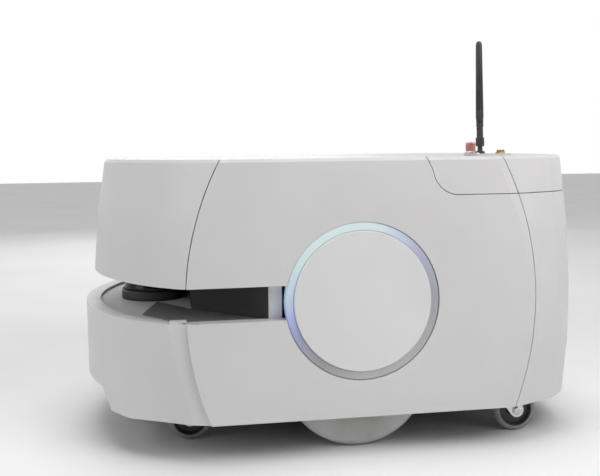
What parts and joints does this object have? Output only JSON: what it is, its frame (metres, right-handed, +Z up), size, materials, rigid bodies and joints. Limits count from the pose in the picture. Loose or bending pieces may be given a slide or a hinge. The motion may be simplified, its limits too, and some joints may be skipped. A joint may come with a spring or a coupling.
{
  "type": "autonomous mobile robot base",
  "caption": "Low mobile robot base with a flat load deck, a slotted nose for a laser scanner, lit side discs, sprung drive wheels and swivel casters.",
  "frame": {"origin": "centre of the robot's footprint on the floor", "axes": "+X forwards along the body's length, +Y to the robot's left, +Z up"},
  "size_m": [0.699, 0.5, 0.54],
  "materials": {
    "cover_white": "fine textured white moulding",
    "deck_light": "light powder coat",
    "light_guide": "frosted translucent light guide",
    "disc_light": "satin light grey",
    "tray_grey": "light grey moulding",
    "mat_dark": "dark ribbed mat",
    "scanner_black": "matt black housing",
    "scanner_window": "glossy dark infrared window",
    "steel_dark": "dark powder coat",
    "steel_bright": "zinc plated",
    "aluminium": "machined",
    "tyre_grey": "light grey polyurethane",
    "caster_grey": "grey non-marking tread",
    "motor_black": "black",
    "battery_grey": "textured dark case",
    "red_lens": "salmon red cap",
    "brass": "turned",
    "antenna_black": "black",
    "beam_foam": "dark foam-cored beam"
  },
  "bodies": {
    "chassis": {"left_side_skin": "cover_white", "right_side_skin": "cover_white", "left_access_panel": "cover_white", "right_access_panel": "cover_white", "rear_skin": "cover_white", "rear_top_cover": "cover_white", "front_hood": "cover_white", "service_plate": "cover_white", "payload_deck": "deck_light", "deck_screws": "steel_bright", "left_light_ring": "light_guide", "right_light_ring": "light_guide", "left_light_disc": "disc_light", "right_light_disc": "disc_light", "slot_tray": "tray_grey", "slot_mats": "mat_dark", "laser_scanner_body": "scanner_black", "laser_scanner_window": "scanner_window", "base_plate": "steel_dark", "left_side_frame": "steel_dark", "right_side_frame": "steel_dark", "front_bulkhead": "steel_dark", "rear_frame": "steel_dark", "front_caster_carrier": "steel_dark", "rear_caster_carrier": "steel_dark", "caster_bearings": "steel_bright", "battery": "battery_grey", "battery_tray": "steel_bright", "core_computer": "aluminium", "motor_controller": "aluminium", "charge_contacts": "brass", "rear_sonars": "scanner_black", "rear_hinges": "steel_bright", "red_fitting": "red_lens", "cable_connector": "brass", "antenna_socket": "antenna_black", "left_suspension_spring": "steel_bright", "right_suspension_spring": "steel_bright"},
    "bumper": {"front_bumper": "cover_white", "bumper_carrier": "beam_foam"},
    "battery_door": {"battery_door": "cover_white"},
    "latch_button": {"door_latch_button": "scanner_black"},
    "antenna_swivel": {"antenna_swivel": "antenna_black"},
    "antenna_whip": {"antenna_whip": "antenna_black"},
    "left_arm": {"left_drive_arm": "aluminium", "left_gearmotor": "motor_black"},
    "left_wheel": {"left_wheel_hub": "aluminium", "left_wheel_tyre": "tyre_grey"},
    "right_arm": {"right_drive_arm": "aluminium", "right_gearmotor": "motor_black"},
    "right_wheel": {"right_wheel_hub": "aluminium", "right_wheel_tyre": "tyre_grey"},
    "front_left_swivel": {"front_left_fork": "steel_bright"},
    "front_left_wheel": {"front_left_caster_wheel": "caster_grey"},
    "front_right_swivel": {"front_right_fork": "steel_bright"},
    "front_right_wheel": {"front_right_caster_wheel": "caster_grey"},
    "rear_left_swivel": {"rear_left_fork": "steel_bright"},
    "rear_left_wheel": {"rear_left_caster_wheel": "caster_grey"},
    "rear_right_swivel": {"rear_right_fork": "steel_bright"},
    "rear_right_wheel": {"rear_right_caster_wheel": "caster_grey"}
  },
  "joints": [
    {"name": "bumper_slide", "type": "slide", "parent": "chassis", "child": "bumper", "axis": [-1, 0, 0], "range_m": [0, 0.006], "stiffness_N_per_m": 3000, "springref_m": -0.002},
    {"name": "left_arm_swing", "type": "hinge", "parent": "chassis", "child": "left_arm", "pos_m": [0.1045, 0.151, 0.1], "axis": [0, 1, 0], "range_deg": [-2.5, 2.5], "stiffness_Nm_per_rad": 150, "springref_deg": -4.58, "deforming": ["left_suspension_spring"]},
    {"name": "left_wheel_drive", "type": "hinge", "parent": "left_arm", "child": "left_wheel", "pos_m": [-0.0155, 0.188, 0.1], "axis": [0, 1, 0], "continuous": true},
    {"name": "right_arm_swing", "type": "hinge", "parent": "chassis", "child": "right_arm", "pos_m": [0.1045, -0.151, 0.1], "axis": [0, 1, 0], "range_deg": [-2.5, 2.5], "stiffness_Nm_per_rad": 150, "springref_deg": -4.58, "deforming": ["right_suspension_spring"]},
    {"name": "right_wheel_drive", "type": "hinge", "parent": "right_arm", "child": "right_wheel", "pos_m": [-0.0155, -0.188, 0.1], "axis": [0, 1, 0], "continuous": true},
    {"name": "front_left_swivel_turn", "type": "hinge", "parent": "chassis", "child": "front_left_swivel", "pos_m": [0.2255, 0.132, 0.08], "axis": [0, 0, 1], "continuous": true},
    {"name": "front_left_wheel_roll", "type": "hinge", "parent": "front_left_swivel", "child": "front_left_wheel", "pos_m": [0.2035, 0.132, 0.03], "axis": [0, 1, 0], "continuous": true},
    {"name": "front_right_swivel_turn", "type": "hinge", "parent": "chassis", "child": "front_right_swivel", "pos_m": [0.2255, -0.132, 0.08], "axis": [0, 0, 1], "continuous": true},
    {"name": "front_right_wheel_roll", "type": "hinge", "parent": "front_right_swivel", "child": "front_right_wheel", "pos_m": [0.2035, -0.132, 0.03], "axis": [0, 1, 0], "continuous": true},
    {"name": "rear_left_swivel_turn", "type": "hinge", "parent": "chassis", "child": "rear_left_swivel", "pos_m": [-0.2215, 0.183, 0.08], "axis": [0, 0, 1], "continuous": true},
    {"name": "rear_left_wheel_roll", "type": "hinge", "parent": "rear_left_swivel", "child": "rear_left_wheel", "pos_m": [-0.2435, 0.183, 0.03], "axis": [0, 1, 0], "continuous": true},
    {"name": "rear_right_swivel_turn", "type": "hinge", "parent": "chassis", "child": "rear_right_swivel", "pos_m": [-0.2215, -0.183, 0.08], "axis": [0, 0, 1], "continuous": true},
    {"name": "rear_right_wheel_roll", "type": "hinge", "parent": "rear_right_swivel", "child": "rear_right_wheel", "pos_m": [-0.2435, -0.183, 0.03], "axis": [0, 1, 0], "continuous": true},
    {"name": "battery_door_swing", "type": "hinge", "parent": "chassis", "child": "battery_door", "pos_m": [-0.3465, -0.106, 0.19], "axis": [0, 0, 1], "range_deg": [0, 110]},
    {"name": "latch_button_press", "type": "slide", "parent": "battery_door", "child": "latch_button", "axis": [1, 0, 0], "range_m": [0, 0.003], "stiffness_N_per_m": 600, "springref_m": -0.002},
    {"name": "antenna_turn", "type": "hinge", "parent": "chassis", "child": "antenna_swivel", "pos_m": [-0.1935, 0.2, 0.402], "axis": [0, 0, 1], "continuous": true},
    {"name": "antenna_tilt", "type": "hinge", "parent": "antenna_swivel", "child": "antenna_whip", "pos_m": [-0.1935, 0.2, 0.424], "axis": [0, -1, 0], "range_deg": [0, 90]}
  ]
}
